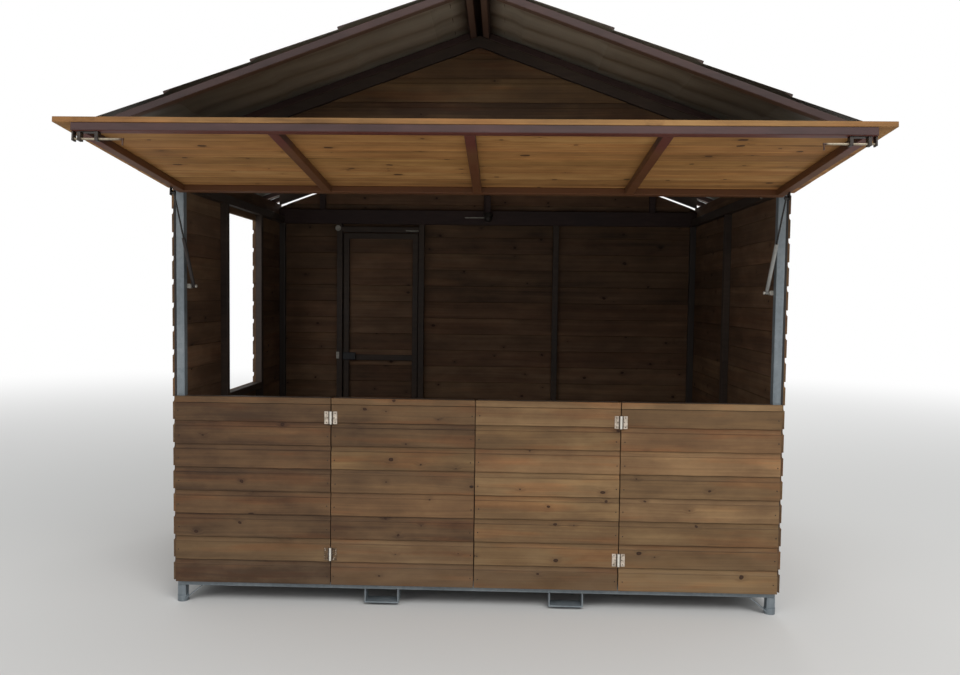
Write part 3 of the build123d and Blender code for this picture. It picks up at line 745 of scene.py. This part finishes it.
def left_place(a, d, h):
    return np.stack([-wall_side + d, a, h], 1)


def back_place(a, d, h):
    return np.stack([a, wall_back - d, h], 1)


def flap_place(a, d, h):
    """Points of the shut flap, turned to where it is at rest."""
    turn = np.array(Matrix.Rotation(flap_turn, 3, "X"))
    return (front_place(a, d, h) - flap_pin) @ turn.T + flap_pin


def front_panel(name, body, seed, shade):
    """A fixed panel's or a door's boards, with a flush batten over the top cove."""
    node = name + "_boards"
    low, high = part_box(node)
    boards = Cladding(front_place, seed, shade=shade)
    boards.wall(low.z, batten_low - batten_gap, low.x, high.x)
    boards.batten(batten_low, high.z, low.x, high.x)
    boards.screw_lines((low.x + panel_screw_inset, high.x - panel_screw_inset), low.z, high.z)
    boards.finish(name, body, node)


def side_walls():
    front_line = side_front + screw_inset
    rear_line = wall_back - rear_screw_inset
    middle_line = 0.5 * (side_front + wall_back)
    right = Cladding(right_place, 5)
    right.wall(clad_bottom, clad_top, side_front, wall_back)
    right.screw_lines((front_line, middle_line, rear_line), clad_bottom, clad_top)
    right.finish("right_wall", "root", "right_wall")

    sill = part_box("left_wall_below_opening")[1].z
    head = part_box("left_wall_over_opening")[0].z
    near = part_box("left_wall_front")[1].y
    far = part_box("left_wall_rear")[0].y
    left = Cladding(left_place, 6, flip=True)
    left.wall(clad_bottom, sill, side_front, wall_back)
    left.wall(sill, head, side_front, near)
    left.wall(sill, head, far, wall_back)
    left.wall(head, clad_top, side_front, wall_back)
    lines = (front_line, near - screw_inset, far + screw_inset, rear_line)
    left.screw_lines(lines, clad_bottom, clad_top)
    left.finish("left_wall", "root", "left_wall_below_opening", "left_wall_front",
                "left_wall_rear", "left_wall_over_opening")


def back_wall():
    left_low, left_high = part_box("back_wall_left")
    right_low, right_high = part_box("back_wall_right")
    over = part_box("back_wall_over_door")[1].z
    wall = Cladding(back_place, 7, flip=True)
    wall.wall(left_low.z, left_high.z, left_low.x, left_high.x)
    wall.wall(right_low.z, right_high.z, right_low.x, right_high.x)
    wall.wall(left_high.z, over, left_low.x, right_high.x)
    lines = (left_low.x + screw_inset, left_high.x - screw_inset, right_low.x + screw_inset,
             back_stud_line, right_high.x - screw_inset)
    wall.screw_lines(lines, left_low.z, left_high.z)
    wall.finish("back_wall", "root", "back_wall_left", "back_wall_right", "back_wall_over_door")

    low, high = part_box("back_door_boards")
    door = Cladding(back_place, 8, flip=True)
    door.wall(low.z, high.z, low.x, high.x)
    door.screw_lines((low.x + door_screw_inset, high.x - door_screw_inset), low.z, high.z)
    door.finish("back_door", "back_door", "back_door_boards")


def gable(name, place, seed, flip, first, shade=0.0):
    """Gable boards, cut to the slope at both ends."""
    node = name + "_boards"
    low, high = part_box(node)

    def reach(z):
        return max(0.0015, min(half_steel, (high.z - z) / math.tan(roof_pitch)))

    boards = Cladding(place, seed, flip, first, shade, lines=(0.10, 0.40))
    boards.wall(low.z, high.z - 0.004, lambda z: -reach(z), reach, end_play=0.0)
    boards.finish(name, "root", node)


def flap_boards():
    low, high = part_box("flap_boards")
    boards = Cladding(flap_place, 11, first=flap_shut_bottom, full_foot=True)
    boards.wall(flap_shut_bottom, flap_shut_top, low.x, high.x)
    boards.screw_lines(rib_lines, flap_shut_bottom, flap_shut_top)
    boards.finish("flap", "flap", "flap_boards", material="flap_wood", slot="flap_boards")


# Roof

def slope_point(along, level, side=1):
    """Points on a slope: along it from the ridge, and level above the rafters' top face."""
    x = along * math.cos(roof_pitch) + level * math.sin(roof_pitch)
    z = rafter_plane - along * math.sin(roof_pitch) + level * math.cos(roof_pitch)
    return side * x, z


def sheet_rows():
    """Rows down the slope: how far along it, and how much the top face and underside rise."""
    rows = []
    edge = eaves_reach
    while edge > 0:
        for share in (0.0, 0.06, 0.15, 0.35, 0.55, 0.75, 0.90, 0.965, 0.992, 1.0):
            along = (edge - tile_step) + share * tile_step
            if along < max(edge - tile_step, 0.004):
                continue
            droop = 0.0012 if share == 1.0 else 0.0
            softened = min(1.0, 9.0 * (1.0 - share))
            rows.append((along, sheet_step * share - droop, sheet_step * share * softened))
        edge -= tile_step
    rows.sort(key=lambda row: (round(row[0], 5), -row[1]))
    return np.array(rows).T[:, :, None]


def roof_sheet(name, node, side):
    """Pressed tile sheet: waves run down the slope, and each step drops to the next row."""
    along, rise, rise_below = sheet_rows()
    y = np.linspace(roof_front, roof_back, int((roof_back - roof_front) / grid_pitch))
    y = np.concatenate([[y[0], y[0] + 0.003], y[1:-1], [y[-1] - 0.003, y[-1]]])
    wave = (0.5 + 0.5 * np.cos(2 * math.pi * (y - roof_front - first_wave) / wave_pitch)) ** 1.25
    top = sheet_metal + sheet_gap + rise + wave_height * wave
    bottom = sheet_gap + rise_below + wave_height * wave
    n, m = top.shape
    points = []
    for level in (top, bottom):
        x, z = slope_point(along, level, side)
        points.append(np.stack(on_grid((n, m), x, y, z), 1))
    upper = [(a, a + m, a + m + 1, a + 1)
             for i in range(n - 1) for a in range(i * m, i * m + m - 1)]
    lower = turned_round([[k + n * m for k in face] for face in upper])
    grid = np.arange(n * m).reshape(n, m)
    rim = [*grid[:, 0].tolist(), *grid[-1, 1:].tolist(), *grid[-2::-1, -1].tolist(),
           *grid[0, -2:0:-1].tolist()]
    edges = [(there, here, here + n * m, there + n * m)
             for here, there in zip(rim, rim[1:] + rim[:1])]
    faces = upper + lower + edges
    underside = np.zeros((n, m))
    underside[1:-1, 1:-1] = 1.0
    shape = Shape()
    shape.add(np.concatenate(points), turned_round(faces) if side < 0 else faces,
              under=np.concatenate([np.zeros(n * m), underside.ravel()]))
    make_piece(name, shape, "root", "roof_coat", (node,), sharp=50.0)


def ridge_capping():
    """Folded cap with a small roll at the ridge and turned-down edges, in two lengths."""
    roll = [(cap_roll * math.sin(angle), ridge_top - 0.0005 - cap_roll * (1 - math.cos(angle)))
            for angle in np.linspace(-0.45, 0.45, 8) * math.pi]
    leg = [slope_point(along, cap_level - drop)
           for along, drop in ((0.030, 0.0), (0.070, 0.0), (0.112, 0.0), (0.1175, 0.0010),
                               (0.120, 0.0050))]
    outer = [(-x, z) for x, z in reversed(leg)] + roll + leg
    middle = 0.5 * (roof_front + roof_back)
    shape = Shape()
    for start, end, lift in ((roof_front, middle + cap_lap, 0.0),
                             (middle - cap_lap, roof_back, -0.0014)):
        ring = [(x, z + lift) for x, z in outer]
        ring += [(x * (1 - 0.001), z + lift - cap_metal) for x, z in reversed(outer)]
        stations = np.linspace(start, end, 12)
        points = [(x, y, z) for y in stations for x, z in ring]
        shape.add(points, tube_faces(len(stations), len(ring), True), under=np.zeros(len(points)))
    make_piece("ridge_capping", shape, "root", "roof_coat", ("ridge_cap",), 40.0)


def roof_fixings():
    """Hexagon screws with washers, in the troughs just above each step."""
    shape = Shape()
    level = sheet_metal + sheet_step * (1 - fixing_rise / tile_step) + 0.0006
    for side in (1, -1):
        direction = (side * math.sin(roof_pitch), 0.0, math.cos(roof_pitch))
        for row in range(5):
            x, z = slope_point(eaves_reach - row * tile_step - fixing_rise, level, side)
            y = roof_front + first_wave + wave_pitch / 2
            while y < roof_back:
                lathe_at(shape, washer, 12, (x, y, z), direction)
                lathe_at(shape, hex_head, 6, (x, y, z), direction, turn=0.3 * row)
                y += 2 * wave_pitch
    make_piece("roof_screws", shape, "root", "dark_steel")


# Small fittings

def block(shape, low, high, ease=0.0008, place=None):
    """Adds a plate or block between two corners, with eased edges."""
    corners = []
    for axis in range(3):
        for end in (low, high):
            for picks in ((0, 0), (1, 0), (1, 1), (0, 1)):
                corner = list(end)
                for other, pick in zip(sorted({0, 1, 2} - {axis}), picks):
                    corner[other] = high[other] - ease if pick else low[other] + ease
                corners.append(corner)
    hull = bmesh.new()
    made = [hull.verts.new(corner) for corner in corners]
    hull.verts.index_update()
    bmesh.ops.convex_hull(hull, input=made)
    faces = [[vert.index for vert in face.verts] for face in hull.faces]
    hull.free()
    shape.add(place(*np.array(corners).T) if place else corners, faces)


def block_pair(shape, low, high, ease, place=None):
    """Adds a block on the right and its mirror image on the left."""
    block(shape, low, high, ease, place)
    block(shape, (-high[0], *low[1:]), (-low[0], *high[1:]), ease, place)


def rounded_bar(shape, y, z, start, end, radius):
    """Adds a round bar along x, with eased ends."""
    ease = 0.2 * radius
    length = end - start
    profile = [(0.0, length), (radius - ease, length), (radius, length - ease), (radius, ease),
               (radius - ease, 0.0), (0.0, 0.0)]
    lathe_at(shape, profile, 14, (start, y, z), (1, 0, 0))


def leaf_boxes(node):
    """Corners of each loose part of a hinge node."""
    group = bmesh.new()
    group.from_mesh(frame["nodes"][node].data)
    bmesh.ops.remove_doubles(group, verts=group.verts, dist=0.00001)
    left = set(group.verts)
    matrix = frame["nodes"][node].matrix_world
    boxes = []
    while left:
        stack = [left.pop()]
        part = list(stack)
        while stack:
            here = stack.pop()
            beside = left.intersection(edge.other_vert(here) for edge in here.link_edges)
            left -= beside
            part += beside
            stack += beside
        spots = [matrix @ vert.co for vert in part]
        boxes.append([Vector(map(pick, *spots)) for pick in (min, max)])
    group.free()
    return sorted(boxes, key=lambda box: tuple(box[0]))


def leaf_screw_x(low, high, share):
    """Place of a screw across a leaf, on the side away from the barrel."""
    pin = min((door_pin, -door_pin, back_door_pin),
              key=lambda x: min(abs(x - low.x), abs(x - high.x)))
    side = 1 if 0.5 * (low.x + high.x) > pin else -1
    return pin + side * (0.016 if share == 0.5 else 0.0215)


def hinge_screws():
    """Three countersunk screws on each leaf of the doors' butt hinges."""
    for node, body in (("door_hinge_plates", "root"),
                       ("right_door_hinge_leaves", "right_front_door"),
                       ("left_door_hinge_leaves", "left_front_door"),
                       ("back_door_hinge_leaves", "back_door")):
        shape = Shape()
        for low, high in leaf_boxes(node):
            face, side = (low.y + leaf_face, -1.0) if low.y < 0 else (high.y - leaf_face, 1.0)
            for share in (0.14, 0.5, 0.86):
                spot = (leaf_screw_x(low, high, share), face, low.z + share * (high.z - low.z))
                lathe_at(shape, countersunk, 12, spot, (0.0, side, 0.0))
        make_fitting(node + "_screws", shape, body, "screw_steel")


def header_fitting():
    """Dark tube stub with a round foot, in front of the back header rail."""
    stub = Shape()
    block(stub, (-0.006, header_face - 0.052, 2.133), (0.030, header_face - 0.016, 2.250), 0.002)
    make_fitting("header_stub_tube", stub, material="rail_paint")
    foot = Shape()
    lathe_at(foot, stub_foot, 24, (0.012, header_face - 0.034, 2.069), (0, 0, 1))
    make_fitting("header_stub_foot", foot, material="dark_steel")


def frame_bolts():
    """Bolts and small bars on the door jambs, the header and the side rails, and the keep."""
    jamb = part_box("back_wall_left")[1].x
    bolts = Shape()
    spot = Vector((jamb - 0.006, jamb_face, 2.0175))
    lathe_at(bolts, jamb_washer, 28, spot, (0, -1, 0))
    lathe_at(bolts, bolt_head, 6, spot - Vector((0, 0.003, 0)), (0, -1, 0))
    rounded_bar(bolts, jamb_face - 0.0035, 2.002, jamb + 0.478, jamb + 0.570, 0.004)
    rounded_bar(bolts, header_face - 0.003, 2.100, -0.152, -0.014, 0.0035)
    low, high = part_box("top_side_rails")
    for side, face, y in ((1, low.x + tube, low.y + 0.120), (-1, high.x - tube, low.y + 0.220)):
        lathe_at(bolts, bolt_head, 6, (face, y, low.z + 0.014), (side, 0, 0))
    make_fitting("frame_bolt_heads", bolts)
    keep = Shape()
    block(keep, (jamb - 0.0165, jamb_face - 0.003, 1.086),
          (jamb + 0.004, jamb_face + 0.0005, 1.134))
    make_fitting("lock_keep", keep)


def bolt_back_plates():
    """Dark plate under each slide bolt's guides, on the flap's low rail."""
    shape = Shape()
    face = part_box("front_left_boards")[1].y - front_face + 0.030
    low = flap_shut_bottom + 0.012
    block_pair(shape, (1.336, face - 0.0002, low), (1.412, face + 0.0035, low + 0.020), 0.0006,
               flap_place)
    make_fitting("bolt_back_plates", shape, "flap", "dark_steel")


def strut_pin_nuts():
    """A nut on the inner end of each strut's lower pin."""
    shape = Shape()
    low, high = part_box("strut_post_brackets")
    for inner, side in ((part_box("left_strut_cylinder")[1].x, 1),
                        (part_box("right_strut_cylinder")[0].x, -1)):
        spot = (inner - side * 0.0002, 0.5 * (low.y + high.y), 0.5 * (low.z + high.z))
        lathe_at(shape, bolt_head, 6, spot, (side, 0, 0), turn=0.2)
    make_fitting("strut_pin_nuts", shape)


def shadow_gap_strips():
    """A black strip of painted shadow in the gap between each front post and the ends of the side
    boards.
    """
    shape = Shape()
    inner = wall_side - thickness
    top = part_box("corner_posts")[1].z - 0.002
    block_pair(shape, (inner + 0.0002, side_front - 0.0012, clad_bottom + 0.003),
               (inner + 0.0085, side_front + 0.004, top), 0.0005)
    make_fitting("shadow_gap_strips", shape, material="shadow_gap_black")


# Finishes of the frame's nodes, with the size of their softened edges

wide_edge = 0.004
frame_finishes = {
    ("galvanised_steel", 0.0025): "base_long_rails base_cross_bearers corner_feet fork_loops",
    ("post_steel", 0.003): "corner_posts",
    ("dark_paint", 0.003): "top_side_rails wall_studs wall_rails front_panel_stiles "
                           "front_panel_rails gable_chords right_door_frame left_door_frame "
                           "back_door_frame",
    ("rail_paint", 0.003): "top_long_rails gable_uprights",
    ("brown_paint", 0.003): "rafters roof_long_rails",
    ("flap_paint", 0.003): "flap_long_rails flap_ribs",
    ("hinge_zinc", 0.0006): "door_hinge_plates right_door_hinge_leaves left_door_hinge_leaves",
    ("zinc_plate", 0.0006): "back_door_hinge_leaves flap_hinge_plates flap_hinge_leaves "
                            "strut_post_brackets",
    ("dark_steel", 0.0010): "flap_bolt_guides flap_strut_brackets",
    ("bolt_zinc", 0.0): "right_flap_bolt left_flap_bolt",
    ("rod_chrome", 0.0): "right_strut_rod left_strut_rod",
    ("strut_paint", 0.0): "right_strut_cylinder",
    ("left_strut_paint", 0.0): "left_strut_cylinder",
    ("film_ply", 0.001): "floor_deck",
    ("lock_cast", wide_edge): "back_door_latch",
}


def finish_node(node, material, edge):
    """Gives a frame node its finish, and rounds its sharp edges if edge is a size."""
    target = frame["nodes"][node]
    if not target.material_slots:
        target.data.materials.append(materials[material])
    for place in target.material_slots:
        place.material = materials[material]
    if edge:
        weld = target.modifiers.new("weld", "WELD")
        weld.merge_threshold = 0.00005
        bevel = target.modifiers.new("soft_edges", "BEVEL")
        bevel.width = edge
        bevel.segments = 3 if edge == wide_edge else 2
        bevel.limit_method = "ANGLE"
        bevel.angle_limit = math.radians(40.0)


# Stage, light and camera

def make_floor():
    """Pale floor that fades to white away from the object."""
    half = 60.0
    mesh = bpy.data.meshes.new("floor")
    mesh.from_pydata([(-half, -half, 0), (half, -half, 0), (half, half, 0), (-half, half, 0)], [],
                     [(0, 1, 2, 3)])
    floor = bpy.data.objects.new("floor", mesh)
    bpy.context.scene.collection.objects.link(floor)
    material = bpy.data.materials.new("floor_paint")
    s = Nodes(material, "OutputMaterial")
    away = s.node("VectorMath", {0: s.place()}, operation="LENGTH").outputs["Value"]
    camera_ray = s.node("LightPath").outputs["Is Camera Ray"]
    paint = s.node("BsdfDiffuse", {"Color": (0.66, 0.655, 0.64, 1.0)}).outputs[0]
    white = s.node("Emission").outputs[0]
    seen = s.times(s.span(away, 3.2, 14.0), camera_ray)
    s.show(s.node("MixShader", {0: seen, 1: paint, 2: white}).outputs[0])
    mesh.materials.append(material)


def make_world():
    """Grey light from all round, behind which the camera sees plain white."""
    world = bpy.data.worlds.new("studio")
    bpy.context.scene.world = world
    s = Nodes(world, "OutputWorld")
    light = {"Color": (0.96, 0.98, 1.0, 1.0), "Strength": 0.62}
    ambient = s.node("Background", light).outputs[0]
    white = s.node("Background", {"Color": (1.0, 1.0, 1.0, 1.0)}).outputs[0]
    camera_ray = s.node("LightPath").outputs["Is Camera Ray"]
    s.show(s.node("MixShader", {0: camera_ray, 1: ambient, 2: white}).outputs[0])


def area_light(name, place, target, width, height, power):
    data = bpy.data.lights.new(name, "AREA")
    data.shape = "RECTANGLE"
    data.size = width
    data.size_y = height
    data.energy = power
    light = bpy.data.objects.new(name, data)
    light.location = place
    light.rotation_mode = "QUATERNION"
    light.rotation_quaternion = (Vector(target) - Vector(place)).to_track_quat("-Z", "Y")
    bpy.context.scene.collection.objects.link(light)


def make_camera():
    """The photograph's own viewing angle, fitted to its 960 pixels of width."""
    eye = (0.1321, -4.53497, 1.5393)
    focal_pixels = 822.4
    sensor = 36.0
    yaw, pitch, roll = 1.64, 2.82, 0.70
    turn = Matrix()
    for angle, axis in ((yaw, "Z"), (90.0 - pitch, "X"), (roll, "Z")):
        turn @= Matrix.Rotation(math.radians(angle), 4, axis)
    data = bpy.data.cameras.new("camera")
    data.sensor_width = sensor
    data.lens = focal_pixels / 960 * sensor
    camera = bpy.data.objects.new("camera", data)
    camera.matrix_world = Matrix.Translation(eye) @ turn
    bpy.context.scene.collection.objects.link(camera)
    bpy.context.scene.camera = camera


# The last number of each panel is painted shade and light: the left panels are darker, the right
# ones lighter
front_panel("front_left", "root", 1, -0.75)
front_panel("left_door", "left_front_door", 2, -0.50)
front_panel("right_door", "right_front_door", 3, 0.08)
front_panel("front_right", "root", 4, 0.22)
side_walls()
back_wall()
# The front gable's -0.6 is painted shade under the roof's overhang
gable("front_gable", front_place, 9, False, gable_first_course, -0.6)
gable("back_gable", back_place, 10, True, first_course)
flap_boards()
roof_sheet("left_tile_sheet", "left_roof_sheet", -1)
roof_sheet("right_tile_sheet", "right_roof_sheet", 1)
ridge_capping()
roof_fixings()
hinge_screws()
header_fitting()
frame_bolts()
bolt_back_plates()
strut_pin_nuts()
shadow_gap_strips()
for (finish, edge_size), node_names in frame_finishes.items():
    for node_name in node_names.split():
        finish_node(node_name, finish, edge_size)
make_floor()
make_world()
area_light("key", (2.5, -6.5, 7.0), (0.2, -0.8, 1.0), 6.0, 4.0, 420.0)
area_light("fill", (-4.5, -6.5, 4.5), (0.0, 0.0, 1.0), 4.0, 3.0, 90.0)
area_light("rear", (1.0, 8.0, 6.0), (0.0, 0.0, 1.5), 5.0, 4.0, 240.0)
make_camera()
bpy.context.scene.view_settings.view_transform = "Standard"
